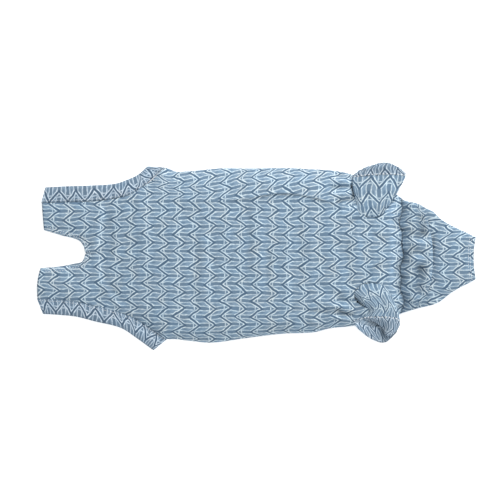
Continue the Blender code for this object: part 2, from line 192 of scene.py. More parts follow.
# soft folds and creases of the belly: from x, y to x, y, half width, height
BELLY_FOLDS = (
    (-177.0, 61.0, -183.0, 15.0, 4.6, 1.7),
    (-183.0, 15.0, -179.0, -25.0, 4.6, 1.5),
    (-179.0, -25.0, -158.0, -53.0, 4.8, 1.7),
    (-158.0, -53.0, -138.0, -68.0, 4.6, 1.3),
    (-168.0, 50.0, -166.0, 2.0, 5.0, -1.3),
    (-166.0, -34.0, -146.0, -58.0, 4.6, -1.2),
    (-205.0, 52.0, -200.0, 30.0, 5.0, -0.9),
    (-215.0, -18.0, -190.0, -30.0, 6.0, -1.0),
    (-126.0, 62.0, -125.0, -6.0, 6.0, 1.1),
    (-140.0, 66.0, -144.0, 36.0, 4.0, -1.0),
    (-90.0, 40.0, -92.0, -30.0, 7.0, 0.9),
    (-57.0, 24.0, -56.0, -58.0, 5.4, 1.3),
    (-70.0, 12.0, -70.0, -56.0, 4.6, -1.1),
    (-32.0, 52.0, -30.0, 6.0, 6.0, 0.9),
    (-8.0, 56.0, -8.0, -16.0, 4.2, -1.4),
    (5.0, 40.0, 5.0, -34.0, 4.6, 1.3),
    (15.0, 10.0, 15.0, -50.0, 4.2, -1.0),
    (38.0, 30.0, 37.0, -56.0, 4.8, 1.2),
    (50.0, 54.0, 52.0, -20.0, 4.2, -1.4),
    (64.0, 40.0, 66.0, -16.0, 5.0, 1.0),
    (104.0, 16.0, 107.0, -28.0, 4.2, -1.5),
    (92.0, 10.0, 96.0, -20.0, 4.6, 1.0),
    (116.0, 30.0, 118.0, -6.0, 4.4, 1.1),
    (70.0, -28.0, 102.0, -46.0, 3.8, -1.4),
    (66.0, -44.0, 100.0, -56.0, 3.6, 1.2),
    (60.0, -60.0, 104.0, -64.0, 3.0, -1.7),
    (84.0, -66.0, 106.0, -70.0, 2.2, 2.4),
    (88.0, -53.0, 110.0, -59.0, 2.2, 2.0),
    (92.0, -58.0, 110.0, -64.0, 2.0, -2.4),
    (92.0, -46.0, 108.0, -50.0, 2.2, -1.8),
    (44.0, -70.0, 62.0, -74.0, 3.4, -1.0),
    (20.0, -74.0, 44.0, -66.0, 3.4, 1.0),
    (60.0, -72.0, 80.0, -78.0, 2.6, 1.1),
    (109.0, 92.0, 90.0, 95.0, 2.2, -2.8),
    (109.0, 87.0, 86.0, 88.0, 2.4, 3.0),
    (109.0, 81.0, 84.0, 80.0, 2.2, -3.0),
    (109.0, 75.0, 86.0, 72.0, 2.4, 3.0),
    (109.0, 68.0, 90.0, 63.0, 2.2, -2.8),
    (112.0, 58.0, 96.0, 51.0, 2.6, 1.8),
    (117.0, 47.0, 104.0, 39.0, 2.6, -1.6),
    (111.0, 95.0, 110.0, 72.0, 2.8, -5.0),
    (147.0, 60.0, 158.0, 67.0, 2.4, -2.6),
    (149.0, 53.0, 160.0, 56.0, 2.4, 1.8),
    (148.0, 46.0, 160.0, 45.0, 2.2, -1.5),
    (-20.0, 88.0, 60.0, 90.0, 7.0, 1.2),
    (133.0, 30.0, 146.0, 20.0, 3.4, -1.3),
    (136.0, 8.0, 148.0, 0.0, 3.4, 1.0),
    (126.0, -18.0, 140.0, -8.0, 3.4, -1.0),
    (155.0, 42.0, 157.0, -38.0, 3.6, 1.6),
)
# a tuck that lies along the upper side: x, then y of its edge, and how deep it is from 0 to 1
PLEAT = (
    (-250.0, 58.0, 0.0),
    (-160.0, 62.0, 0.0),
    (-120.0, 69.0, 0.15),
    (-95.0, 66.5, 0.25),
    (-68.0, 65.9, 0.3),
    (-40.0, 67.0, 0.3),
    (-10.0, 70.5, 0.7),
    (14.0, 75.0, 1.0),
    (32.0, 76.2, 1.0),
    (50.0, 74.5, 1.0),
    (72.0, 69.5, 0.9),
    (90.0, 64.0, 0.5),
    (110.0, 60.0, 0.0),
    (180.0, 46.0, 0.0),
)
# the tuck's edge: how far before it the cloth starts to rise, how high it stands, how far it
# hangs over, how wide its top is, and its row in the net
TUCK_RUN = 3.2
TUCK_RISE = 2.3
TUCK_OVERHANG = 1.6
TUCK_TOP = 30.0
TUCK_ROW = 0.46
# the rows of the net stand closer towards the outer edges, and each flank drops off there, the
# left one more squarely than the right
ROW_CROWDING = 1.5
RIGHT_FLANK = 3.4
LEFT_FLANK = 6.0
# the hem that is turned under at the notch: its width, and how far it lifts the cloth
HEM = 6.5
HEM_LIFT = 0.55
# armholes: centre x and y, half length and half width
ARMHOLES = ((131.1, 62.0, 16.0, 14.0), (129.0, -42.5, 18.0, 14.5))


def through(rows, where):
    """The values of a table at one place of its first column, on a smooth curve through the rows."""
    keys = [row[0] for row in rows]
    where = min(max(where, keys[0]), keys[-1])
    k = min(max(bisect.bisect_right(keys, where) - 1, 0), len(rows) - 2)
    before, low = rows[max(k - 1, 0)], rows[k]
    high, after = rows[k + 1], rows[min(k + 2, len(rows) - 1)]
    span = high[0] - low[0]
    t = (where - low[0]) / span
    values = []
    for c in range(1, len(low)):
        rise_low = (high[c] - before[c]) / (high[0] - before[0]) * span
        rise_high = (after[c] - low[c]) / (after[0] - low[0]) * span
        values.append(
            low[c] * (1 + 2 * t) * (1 - t) ** 2
            + rise_low * t * (1 - t) ** 2
            + high[c] * t * t * (3 - 2 * t)
            + rise_high * t * t * (t - 1)
        )
    return values


def clamped(value):
    """A value kept between 0 and 1."""
    return min(1.0, max(0.0, value))


def eased(value):
    """A value from 0 to 1, on a soft step."""
    return value * value * (3 - 2 * value)


def fold_height(folds, x, y):
    """How far the folds lift the cloth at x, y: each one fades to its sides and its ends."""
    fade, past_end = 0.4, 0.25
    height = 0.0
    for x0, y0, x1, y1, width, lift in folds:
        run_x, run_y = x1 - x0, y1 - y0
        length = math.hypot(run_x, run_y)
        t = ((x - x0) * run_x + (y - y0) * run_y) / length**2
        aside = abs((x - x0) * run_y - (y - y0) * run_x) / length
        if aside > 3 * width or t < -fade or t > 1 + fade:
            continue
        ends = clamped((t + past_end) / fade) * clamped((1 + past_end - t) / fade)
        height += lift * math.exp(-((aside / width) ** 2)) * eased(ends)
    return height


def slack(x, y, layer):
    """The small random unevenness of cloth that lies loose: each layer has its own."""
    broad = noise.noise(Vector((x / 38.0, y / 55.0, layer)))
    small = noise.noise(Vector((x / 11.0, y / 19.0, layer + 7.0)))
    return 0.9 * broad + 0.35 * small


def neck_waver(y):
    """The neck seam isn't straight: it wavers a little to and fro across the suit."""
    return 1.7 * math.sin(y / 10.0 + 0.6) + 1.2 * math.sin(y / 4.1 + 1.0)


def neck_pucker(x, y):
    """The neck seam is gathered: it lifts in its middle, and small tucks run across it."""
    tucks = 0.9 * math.sin(y / 1.5 + 2.4 * noise.noise(Vector((y / 14.0, x / 30.0, 2.0))))
    lift = 2.4 * math.exp(-(((y - 15.0) / 13.0) ** 2))
    near = math.exp(-(((x - NECK_SEAM) / 7.5) ** 2))
    return near * (tucks + lift)


def laid_out(across, along):
    """Moves the rows of the cloth so that one of them runs just along the edge of the tuck."""
    _, inner_y, outer_y = through(RIGHT_HALF, along)
    row = 1 - (1 - TUCK_ROW) ** ROW_CROWDING
    edge = (through(PLEAT, along)[0] - inner_y) / (outer_y - inner_y)
    if across < row:
        return across * edge / row
    return edge + (across - row) * (1 - edge) / (1 - row)


def cut_line(along, side):
    """The inner edge's x and y and the outer edge's y of one half: side is 1 or -1."""
    inner_x, inner_y, outer_y = through(RIGHT_HALF if side > 0 else LEFT_HALF, along)
    if along >= NOTCH_END:
        inner_y = CENTRE_LINE
    return inner_x, inner_y, outer_y


def station(share, side):
    """Where a cross line of the net stands. Both halves share their lines past the notch."""
    first = (RIGHT_HALF if side > 0 else LEFT_HALF)[0][0]
    if share < TAB_SHARE:
        return first + (NOTCH_END - first) * share / TAB_SHARE
    return NOTCH_END + (NECK_SEAM - NOTCH_END) * (share - TAB_SHARE) / (1 - TAB_SHARE)


def belly_point(along, side, across):
    """A point of the belly: side is 1 or -1, across runs from the centre or notch to the edge."""
    inner_x, inner_y, outer_y = cut_line(along, side)
    inner_z, swell, outer_z, tab = through(BELLY_LEVELS, along)
    across = 1 - (1 - across) ** ROW_CROWDING
    if side > 0:
        across = laid_out(across, along)
    x = inner_x + (along - inner_x) * across
    y = inner_y + (outer_y - inner_y) * across
    flank = (1 - across ** (RIGHT_FLANK if side > 0 else LEFT_FLANK)) ** 0.65
    share = (1 - tab) * flank + tab * (1 - across)
    bulge = 4 * across * (1 - across)
    z = outer_z + (inner_z - outer_z) * share + swell * bulge**0.8
    if along < NOTCH_END + 12:
        from_notch = abs(y - inner_y)
        turned_over = max(0.0, 1 - from_notch / 1.6)
        z += HEM_LIFT * clamped((HEM - from_notch) / 1.2) - 0.9 * turned_over**2

    # the cloth is loose in the middle and held at the seams
    loose = min(1.0, 8 * (1 - across)) * min(1.0, (172 - x) / 12)
    bend = 2.4 * noise.noise(Vector((x / 60.0, y / 20.0, 5.0)))
    folds = 0.85 * fold_height(BELLY_FOLDS, x + bend, y + bend)
    z += loose * (folds + slack(x, y, 3.0)) + neck_pucker(x, y) * loose
    if side > 0:
        line, tuck = through(PLEAT, x)
        off = y - line
        rise = clamped((off + TUCK_RUN) / TUCK_RUN)
        z += tuck * TUCK_RISE * eased(rise) * clamped((TUCK_TOP - off) / 22.0)
        y -= tuck * TUCK_OVERHANG * rise * rise * max(0.0, 1 - off / 6.0)

    # the neck's seam wavers, and the left tab's end is cut in a bow
    waver_start, bow_start = 150.0, -235.0
    if x > waver_start:
        x += neck_waver(y) * (x - waver_start) / (NECK_SEAM - waver_start)
    if side < 0 and along < bow_start:
        x -= 1.8 * bulge * (bow_start - along) / 17
    return Vector((x, y, max(z, 1.6)))


def printed_at(x, y, row):
    """Where a point of the body falls in the print. Beyond the tuck near its upper edge the cloth
    has swung round a little, so the rows of the print climb there."""
    if row > TUCK_ROW:
        climb = 0.2
        wide = 26.0 * clamped((-45.0 - x) / 15.0)
        past = 1.0 if wide < 0.1 else clamped((y - through(PLEAT, x)[0]) / wide)
        y -= climb * (x + 60.0) * eased(past) * clamped((x + 130.0) / 30.0)
    print_x, print_y = -59.5, 28.5
    return ((x - print_x) * MM, (y - print_y) * MM)


def cloth_piece(along, across, place, first, cut_x=None, cut_y=None, turned=False, tucked=False,
                fullness=1.0, lean=0.0):
    """A piece of cloth: a flat grid, moved point by point to where it lies. place takes two shares
    from 0 to 1 and gives millimetres. The flat pattern that it was cut to is kept in a UV map, and
    is measured along the row called first and from there to both sides. It starts at cut_x and
    cut_y in the print, or lies over the piece where these are None. turned cuts it across the
    print, fullness and lean stretch it and slant it, and tucked is for the side with the tuck."""
    spots = [[place(i / along, j / across) for j in range(across + 1)] for i in range(along + 1)]
    cut = []
    run = cut_x or 0.0
    for i, line in enumerate(spots):
        if i and cut_x is not None:
            run += (line[first] - spots[i - 1][first]).length * fullness
        widths = [0.0] * (across + 1)
        widths[first] = line[first].y if cut_y is None else cut_y
        for j in range(first + 1, across + 1):
            widths[j] = widths[j - 1] + (line[j] - line[j - 1]).length
        for j in range(first - 1, -1, -1):
            widths[j] = widths[j + 1] - (line[j] - line[j + 1]).length
        cut.append([(line[j].x if cut_x is None else run, widths[j]) for j in range(across + 1)])
    bm = bmesh.new()
    bmesh.ops.create_grid(bm, x_segments=along, y_segments=across, size=0.5)
    pattern = bm.loops.layers.uv.new("pattern")
    places = {}
    for vert in bm.verts:
        places[vert] = (round((vert.co.x + 0.5) * along), round((vert.co.y + 0.5) * across))
    for face in bm.faces:
        face.smooth = True
        row = sum(places[vert][1] for vert in face.verts) / (4 * across) if tucked else 0.0
        for loop in face.loops:
            i, j = places[loop.vert]
            u, v = cut[i][j]
            if turned:
                loop[pattern].uv = (v * MM, (u + lean * v) * MM)
            else:
                loop[pattern].uv = printed_at(u, v, row)
    for vert, (i, j) in places.items():
        vert.co = spots[i][j] * MM
    return bm


def measure_fold_shade(bm, edge_shade_depth, painted_shading):
    """Keeps in an attribute how deep each point lies in a fold, in millimetres, by how far the
    cloth would rise there if its folds were smoothed away; the material paints shade by it.
    Points on seams and edges count as at least the given edge depth, which paints a dark line
    along them, and the given shading function adds painted shade or light, in millimetres of depth."""
    hollow = bm.verts.layers.float.new("hollow")
    bm.normal_update()
    places = [(vert, vert.co.copy(), vert.normal.copy()) for vert in bm.verts]
    smoothings = 22
    every_way = {"use_axis_x": True, "use_axis_y": True, "use_axis_z": True}
    for _ in range(smoothings):
        bmesh.ops.smooth_vert(bm, verts=bm.verts, factor=0.5, **every_way)
    for vert, place, facing in places:
        # the depth from the smoothing, plus the painted shade or light given for this point
        depth = (vert.co - place).dot(facing) / MM + (painted_shading(place / MM) if painted_shading else 0.0)
        # open edges and seams are at least as deep as given: a painted dark line along them
        vert[hollow] = max(depth, edge_shade_depth) if vert.is_boundary else depth
        vert.co = place


def finish_cloth(name, bm, cad_name, materials, thickness=CLOTH, edge_shade_depth=1.6, painted_shading=None):
    """Gives a cloth its thickness, its two materials, right side first, and its place in the frame."""
    mesh = bpy.data.meshes.new(name)
    bmesh.ops.remove_doubles(bm, verts=bm.verts, dist=0.05 * MM)
    # the depth of each point, from which the material paints shade in folds and along edges
    measure_fold_shade(bm, edge_shade_depth, painted_shading)
    bm.to_mesh(mesh)
    bm.free()
    piece = bpy.data.objects.new(name, mesh)
    scene.collection.objects.link(piece)
    for material in materials:
        mesh.materials.append(material)
    wall = piece.modifiers.new("cloth thickness", "SOLIDIFY")
    wall.thickness = thickness * MM
    wall.offset = -1.0
    wall.material_offset = 1
    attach(piece, "root")
    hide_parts(cad_name)
    return piece


def printed(colour):
    """A colour as a paint chart gives it, from 0 to 255, made linear."""
    linear = [((c / 255 + 0.055) / 1.055) ** 2.4 if c > 10 else c / 3294.6 for c in colour]
    return (*linear, 1.0)


def add_node(tree, kind, inputs, **settings):
    """A new shader node, with its settings and its inputs."""
    node = tree.nodes.new("ShaderNode" + kind)
    for setting, value in settings.items():
        setattr(node, setting, value)
    fill_in(node, inputs)
    return node


def step_node(tree, operation, *values, clamp=False):
    """A Math node whose inputs are numbers or other nodes' outputs."""
    inputs = dict(enumerate(values))
    return add_node(tree, "Math", inputs, operation=operation, use_clamp=clamp).outputs[0]


def vector_node(tree, operation, inputs):
    """The same for a VectorMath node."""
    return add_node(tree, "VectorMath", inputs, operation=operation).outputs[0]


def below(tree, value, edge, soft):
    """1 where value is under edge, 0 above it, with a soft step between."""
    span = {"From Min": edge - soft, "From Max": edge + soft, "To Min": 1.0, "To Max": 0.0}
    inputs = {"Value": value, **span}
    return add_node(tree, "MapRange", inputs, interpolation_type="SMOOTHSTEP").outputs["Result"]


def new_group(name, inputs, outputs):
    """An empty shader node group with named sockets."""
    group = bpy.data.node_groups.new(name, "ShaderNodeTree")
    for label, kind, value in inputs:
        socket = group.interface.new_socket(label, in_out="INPUT", socket_type=kind)
        if value is not None:
            socket.default_value = value
    for label, kind in outputs:
        group.interface.new_socket(label, in_out="OUTPUT", socket_type=kind)
    return group, group.nodes.new("NodeGroupInput"), group.nodes.new("NodeGroupOutput")


def chevron_print():
    """The print: dark zigzag lines across the cloth with pale lines on both sides. Between two
    zigzags a dark bar in a pale outline runs from point to point, in every row of points. The
    front points are those towards the collar, the back points those towards the tail."""
    repeat_along, repeat_across, reach = 17.9, 18.8, 13.3
    half = repeat_across / 2
    lean = half / math.hypot(half, reach)
    # half widths of the zigzag line and of the pale lines beside it
    line_width, beside_width = 1.05, 2.1
    # half widths of the two bars and of their outlines
    front_width, back_width, front_outline, back_outline = 1.8, 1.75, 2.8, 2.75
    # where the bars and their outlines end or start, after the points
    front_bar_end, front_outline_end, back_bar_start, back_outline_start = 9.9, 11.0, 7.6, 6.4
    # the short dash behind the line, and the small tips at the ends of the bars
    dash_start, dash_end, dash_width = 4.4, 8.6, 0.8
    front_tip_end, back_tip_start, back_tip_end = 13.9, 4.0, 6.2
    # how much ink each has, where the zigzag line has 1
    bar_ink, dash_ink, tip_ink, outline_paint = 0.54, 0.5, 0.6, 0.75
    tree, given, made = new_group(
        "chevron print",
        (
            ("Pattern", "NodeSocketVector", None),
            ("Ground", "NodeSocketColor", None),
            ("Pale", "NodeSocketColor", None),
            ("Dark", "NodeSocketColor", None),
        ),
        (("Color", "NodeSocketColor"),),
    )
    spot = vector_node(tree, "SCALE", {0: given.outputs["Pattern"], "Scale": 1000.0})

    # the rows drift over the whole cloth, and waver from one point to the next
    drift = add_node(tree, "TexNoise", {"Vector": spot, "Scale": 0.028, "Detail": 2.5})
    centred = vector_node(tree, "SUBTRACT", {0: drift.outputs["Color"], 1: (0.5, 0.5, 0.5)})
    moved = vector_node(tree, "MULTIPLY_ADD", {0: centred, 1: (8.0, 8.0, 0.0), 2: spot})
    wobble = add_node(tree, "TexNoise", {"Vector": spot, "Scale": 0.13, "Detail": 1.0})
    wavering = {0: wobble.outputs["Color"], 1: (2.2, 2.2, 0.0), 2: moved}
    parts = add_node(tree, "SeparateXYZ", {0: vector_node(tree, "MULTIPLY_ADD", wavering)})
    along, across = parts.outputs["X"], parts.outputs["Y"]

    def minus(high, low, clamp=False):
        return step_node(tree, "SUBTRACT", high, low, clamp=clamp)

    def times(one, other, clamp=False):
        return step_node(tree, "MULTIPLY", one, other, clamp=clamp)

    def most(one, other, clamp=False):
        return step_node(tree, "MAXIMUM", one, other, clamp=clamp)

    def repeated(value):
        return step_node(tree, "FLOORED_MODULO", value, repeat_along)

    def covered(ink, under, over):
        inputs = {"Factor": ink, "A": under, "B": over}
        return add_node(tree, "Mix", inputs, data_type="RGBA").outputs["Result"]

    # the zigzag line and the pale lines beside it
    from_back = step_node(tree, "PINGPONG", across, half)
    from_front = minus(half, from_back)
    shifted = minus(along, times(from_back, reach / half))
    gap = times(step_node(tree, "PINGPONG", shifted, repeat_along / 2), lean)
    line = below(tree, gap, line_width, 0.35)
    beside = minus(below(tree, gap, beside_width, 0.3), line)

    # the bars between the points, and their outlines
    after_front = repeated(minus(along, reach))
    after_back = repeated(along)
    front_run = below(tree, after_front, front_bar_end, 0.45)
    front_cap = below(tree, after_front, front_outline_end, 0.45)
    back_run = minus(1.0, below(tree, after_back, back_bar_start, 0.45))
    back_cap = minus(1.0, below(tree, after_back, back_outline_start, 0.45))
    front_bar = times(front_run, below(tree, from_front, front_width, 0.4))
    back_bar = times(back_run, below(tree, from_back, back_width, 0.4))
    bar = most(front_bar, back_bar)
    front_frame = times(front_cap, below(tree, from_front, front_outline, 0.3))
    back_frame = times(back_cap, below(tree, from_back, back_outline, 0.3))
    outline = minus(most(front_frame, back_frame), bar, clamp=True)

    # the dashes and the tips
    between = step_node(tree, "ABSOLUTE", minus(from_back, half / 2))
    after_line = repeated(shifted)
    dash_run = minus(below(tree, after_line, dash_end, 0.5), below(tree, after_line, dash_start, 0.5))
    dash = times(times(below(tree, between, dash_width, 0.35), dash_run), dash_ink)
    front_tip = minus(below(tree, after_front, front_tip_end, 0.5), front_cap)
    front_tip = times(front_tip, below(tree, from_front, 1.2, 0.5))
    back_tip = minus(
        below(tree, after_back, back_tip_end, 0.5),
        below(tree, after_back, back_tip_start, 0.5),
    )
    back_tip = times(back_tip, below(tree, from_back, 1.1, 0.5))
    tip = most(front_tip, back_tip)

    # the pale paint is worn away in places
    worn = add_node(tree, "TexNoise", {"Vector": spot, "Scale": 0.3, "Detail": 4.0})
    left_over = {"From Min": 0.32, "From Max": 0.68, "To Min": 0.3, "To Max": 1.35}
    strength = add_node(tree, "MapRange", {"Value": worn.outputs["Fac"], **left_over})
    open_side = times(beside, minus(1.0, bar))
    pale = most(open_side, times(outline, outline_paint))
    pale = times(pale, minus(1.0, line))
    pale = times(pale, strength.outputs["Result"], clamp=True)
    fills = most(most(times(bar, bar_ink), dash), times(tip, tip_ink))
    dark = most(line, fills, clamp=True)

    inked = covered(dark, given.outputs["Ground"], given.outputs["Dark"])
    painted = covered(pale, inked, given.outputs["Pale"])

    # the dye's hue changes a little from place to place
    tone = add_node(tree, "TexNoise", {"Vector": moved, "Scale": 0.06}).outputs["Fac"]
    same = add_node(tree, "CombineXYZ", {"X": tone, "Y": tone, "Z": tone})
    hues = {
        "From Min": (0.35, 0.35, 0.35),
        "From Max": (0.65, 0.65, 0.65),
        "To Min": (1.04, 1.0, 0.97),
        "To Max": (0.96, 0.99, 1.01),
    }
    tint = add_node(tree, "MapRange", {"Vector": same.outputs[0], **hues}, data_type="FLOAT_VECTOR")
    tinted = vector_node(tree, "MULTIPLY", {0: painted, 1: tint.outputs["Vector"]})
    tree.links.new(tinted, made.inputs["Color"])
    return tree


def knit_surface():
    """Single jersey: columns of small loops, each leaning to both sides of its column."""
    tree, given, made = new_group(
        "jersey knit",
        (("Pattern", "NodeSocketVector", None), ("Loops per metre", "NodeSocketFloat", 1100.0)),
        (("Height", "NodeSocketFloat"),),
    )
    sized = {0: given.outputs["Pattern"], "Scale": given.outputs["Loops per metre"]}
    parts = add_node(tree, "SeparateXYZ", {0: vector_node(tree, "SCALE", sized)})
    column = step_node(tree, "PINGPONG", parts.outputs["Y"], 0.5)
    leaning = step_node(tree, "ADD", step_node(tree, "MULTIPLY", parts.outputs["X"], 1.3), column)
    loops = step_node(tree, "PINGPONG", leaning, 0.5)
    height = step_node(tree, "MULTIPLY", step_node(tree, "ADD", loops, 0.2), column)
    tree.links.new(step_node(tree, "MULTIPLY", height, 3.0), made.inputs["Height"])
    return tree


def fold_shade():
    """Painted shade and highlight: the colour is darkened down in a fold, the more the deeper it
    lies, and painted a little paler along the crests."""
    tree, given, made = new_group(
        "fold shade",
        (("Color", "NodeSocketColor", None), ("Depth", "NodeSocketFloat", 0.0)),
        (("Color", "NodeSocketColor"),),
    )
    # painted highlight on the crests, painted shade in the hollows, by depth in millimetres
    lit_crest_to_shaded_hollow = {"From Min": -0.8, "From Max": 2.8, "To Min": 1.15, "To Max": 0.38}
    shade = add_node(tree, "MapRange", {"Value": given.outputs["Depth"], **lit_crest_to_shaded_hollow})
    shaded_colour = {0: given.outputs["Color"], "Scale": shade.outputs["Result"]}
    tree.links.new(vector_node(tree, "SCALE", shaded_colour), made.inputs["Color"])
    return tree


print_group = chevron_print()
knit_group = knit_surface()
shade_group = fold_shade()


def jersey(name, ground, pale, dark, sheen=0.25):
    """Printed jersey: soft and dull, with the loops of its knit and a faint bloom of fibres."""
    material = bpy.data.materials.new(name)
    material.use_nodes = True
    tree = material.node_tree
    uv = add_node(tree, "UVMap", {}, uv_map="pattern").outputs["UV"]
    colours = {"Ground": printed(ground), "Pale": printed(pale), "Dark": printed(dark)}
    motif = add_node(tree, "Group", {"Pattern": uv, **colours}, node_tree=print_group).outputs["Color"]
    # painted shade: the depth in the folds darkens the print, and the crests are painted paler
    depth = add_node(tree, "Attribute", {}, attribute_name="hollow").outputs["Fac"]
    shaded = add_node(tree, "Group", {"Color": motif, "Depth": depth}, node_tree=shade_group)
    knit = add_node(tree, "Group", {"Pattern": uv}, node_tree=knit_group).outputs["Height"]
    bump = add_node(tree, "Bump", {"Strength": 0.5, "Distance": 0.12 * MM, "Height": knit})
    fill_in(tree.nodes["Principled BSDF"], {
        "Base Color": shaded.outputs["Color"],
        "Normal": bump.outputs["Normal"],
        "Roughness": 0.88,
        "Specular IOR Level": 0.25,
        "Sheen Weight": sheen,
        "Sheen Roughness": 0.5,
        "Sheen Tint": (0.6, 0.78, 0.95, 1.0),
    })
    return material


body_jersey = jersey("printed jersey", (136, 162, 185), (231, 248, 255), (87, 113, 138))
wrong_side = jersey("jersey wrong side", (152, 174, 193), (204, 219, 231), (128, 151, 172), 0.15)

# the thread of all the stitches: pale spun polyester, twisted from two plies
thread = bpy.data.materials.new("sewing thread")
thread.use_nodes = True
on_piece = add_node(thread.node_tree, "TexCoord", {}).outputs["Object"]
plies = add_node(thread.node_tree, "TexWave", {"Vector": on_piece, "Scale": 900.0, "Distortion": 2.0})
plies = plies.outputs["Fac"]
twist = add_node(thread.node_tree, "Bump", {"Strength": 0.6, "Distance": 0.1 * MM, "Height": plies})
fill_in(thread.node_tree.nodes["Principled BSDF"], {
    "Base Color": printed((250, 253, 255)),
    "Roughness": 0.6,
    "Normal": twist.outputs["Normal"],
})

HIGH_ABOVE = 40.0


def sew(name, cloth, rows, spacing=3.2, length=2.3, width=0.6):
    """Rows of short stitches in pale thread on a cloth. A row is a line of points in millimetres
    on the cloth, or high above it, and then its stitches lie on what is below them."""
    bpy.context.view_layer.update()
    bm = bmesh.new()
    for row in rows:
        run = [0.0]
        for before, after in zip(row, row[1:]):
            run.append(run[-1] + (after - before).length)
        for k in range(int(run[-1] / spacing)):
            middle = (k + 0.5) * spacing
            n = bisect.bisect_right(run, middle) - 1
            spot = row[n].lerp(row[n + 1], (middle - run[n]) / (run[n + 1] - run[n])) * MM
            if row[0].z >= HIGH_ABOVE:
                found, place, facing, _ = cloth.ray_cast(spot, Vector((0.0, 0.0, -1.0)))
            else:
                found, place, facing, _ = cloth.closest_point_on_mesh(spot)
            if not found:
                continue
            aside = facing.cross(row[n + 1] - row[n]).normalized()
            turn = Matrix((aside.cross(facing), aside, facing)).transposed().to_4x4()
            turn.translation = place
            size = Matrix.Diagonal((length * MM / 2, width * MM / 2, width * MM / 2, 1.0))
            bmesh.ops.create_icosphere(bm, subdivisions=1, radius=1.0, matrix=turn @ size)
    for face in bm.faces:
        face.smooth = True
    mesh = bpy.data.meshes.new(name)
    bm.to_mesh(mesh)
    bm.free()
    mesh.materials.append(thread)
    stitches = bpy.data.objects.new(name, mesh)
    scene.collection.objects.link(stitches)
    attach(stitches, "root")
    return stitches


def whole_layer(point, columns, rows, tucked):
    """A layer of the body: its halves are laid out from the centre line and the notch's edge to
    both sides, and joined along the centre line. point is the layer's own function."""
    layer = bmesh.new()
    for side in (1, -1):
        def place(a, b):
            return point(station(a, side), side, b if side > 0 else 1 - b)

        inner_row = 0 if side > 0 else rows
        half = cloth_piece(columns, rows, place, inner_row, tucked=tucked and side > 0)
        part = bpy.data.meshes.new("half")
        half.to_mesh(part)
        half.free()
        layer.from_mesh(part)
        bpy.data.meshes.remove(part)
    bmesh.ops.remove_doubles(layer, verts=layer.verts, dist=0.1 * MM)
    return layer


# the points near an armhole's edge are moved onto it before the cloth inside it is cut away
NEAR_EDGE = (0.93, 1.06)
belly = whole_layer(belly_point, BELLY_COLUMNS, BELLY_ROWS, tucked=True)
for hole_x, hole_y, long, wide in ARMHOLES:
    inside = []
    for vert in belly.verts:
        away = math.hypot((vert.co.x / MM - hole_x) / long, (vert.co.y / MM - hole_y) / wide)
        if NEAR_EDGE[0] < away < NEAR_EDGE[1]:
            vert.co.x = (hole_x + (vert.co.x / MM - hole_x) / away) * MM
            vert.co.y = (hole_y + (vert.co.y / MM - hole_y) / away) * MM
    for face in belly.faces:
        middle = face.calc_center_median() / MM
        if math.hypot((middle.x - hole_x) / long, (middle.y - hole_y) / wide) < 0.99:
            inside.append(face)
    bmesh.ops.delete(belly, geom=inside, context="FACES")


def neck_painted_shade(place):
    """Painted shade along the neck seam, deeper in some places than in others."""
    depth = 0.42 + 0.35 * math.sin(place.y / 17.0 + 3.4)
    return depth * math.exp(-(((place.x - neck_waver(place.y) - NECK_SEAM) / 2.6) ** 2))


def belly_painted_shade(place):
    """Besides the neck's painted shade, painted shade on the belly beside the right sleeve's root."""
    line = 109.6 + 0.03 * max(0.0, 77.0 - place.y) ** 1.8
    beside = math.exp(-(((place.x - line) / 2.4) ** 2) - ((place.y - 79.0) / 17.0) ** 6)
    return neck_painted_shade(place) + 1.6 * beside


belly_cloth = finish_cloth(
    "belly_cloth",
    belly,
    "belly_panel",
    (body_jersey, wrong_side),
    painted_shading=belly_painted_shade,
)

# two rows of stitches hold the hem, and follow the notch's edge from one tab's end to the other
NOTCH_INSETS = (2.6, 4.9)
notch_edge = []
for side in (1, -1):
    shares = [TAB_SHARE * n / 40 for n in range(41)]
    points = [cut_line(station(share, side), side)[:2] for share in shares]
    notch_edge += points if side > 0 else points[::-1][1:]
notch_rows = []
for inset in NOTCH_INSETS:
    stitch_row = []
    for before, here, after in zip(notch_edge, notch_edge[1:], notch_edge[2:]):
        way = Vector((after[0] - before[0], after[1] - before[1])).normalized()
        stitch_row.append(Vector((here[0] - way.y * inset, here[1] + way.x * inset, HIGH_ABOVE)))
    notch_rows.append(stitch_row)
notch_stitches = sew("notch_stitches", belly_cloth, notch_rows)


# Back panel: the under layer, the same outline cut in the same jersey. It lies flat on the table
# and shows only through the openings and as a thin line under the belly's edge.

# its net, and the height of its upper face
BACK_COLUMNS = 104
BACK_ROWS = 24
BACK_TOP = 1.25


def back_point(along, side, across):
    """A point of the back, just inside the belly's edge. Beside the left tab it peeks out."""
    inner_x, inner_y, outer_y = cut_line(along, side)
    x = inner_x + (along - inner_x) * across
    peek = 1.8 * math.exp(-(((inner_x + 208.0) / 12.0) ** 2)) if side < 0 else 0.0
    y = inner_y + peek + (outer_y - side * 0.8 - inner_y - peek) * across
    return Vector((x, y, BACK_TOP + 0.2 * noise.noise(Vector((x / 20, y / 20, 1.0)))))


back = whole_layer(back_point, BACK_COLUMNS, BACK_ROWS, tucked=False)
back_cloth = finish_cloth("back_cloth", back, "back_panel", (wrong_side, body_jersey))


# Leg bands: a doubled strip of the same jersey, cut the other way of the print, sewn round each
# hind-leg opening. Each strip runs out along the belly's edge and back along the under layer's.

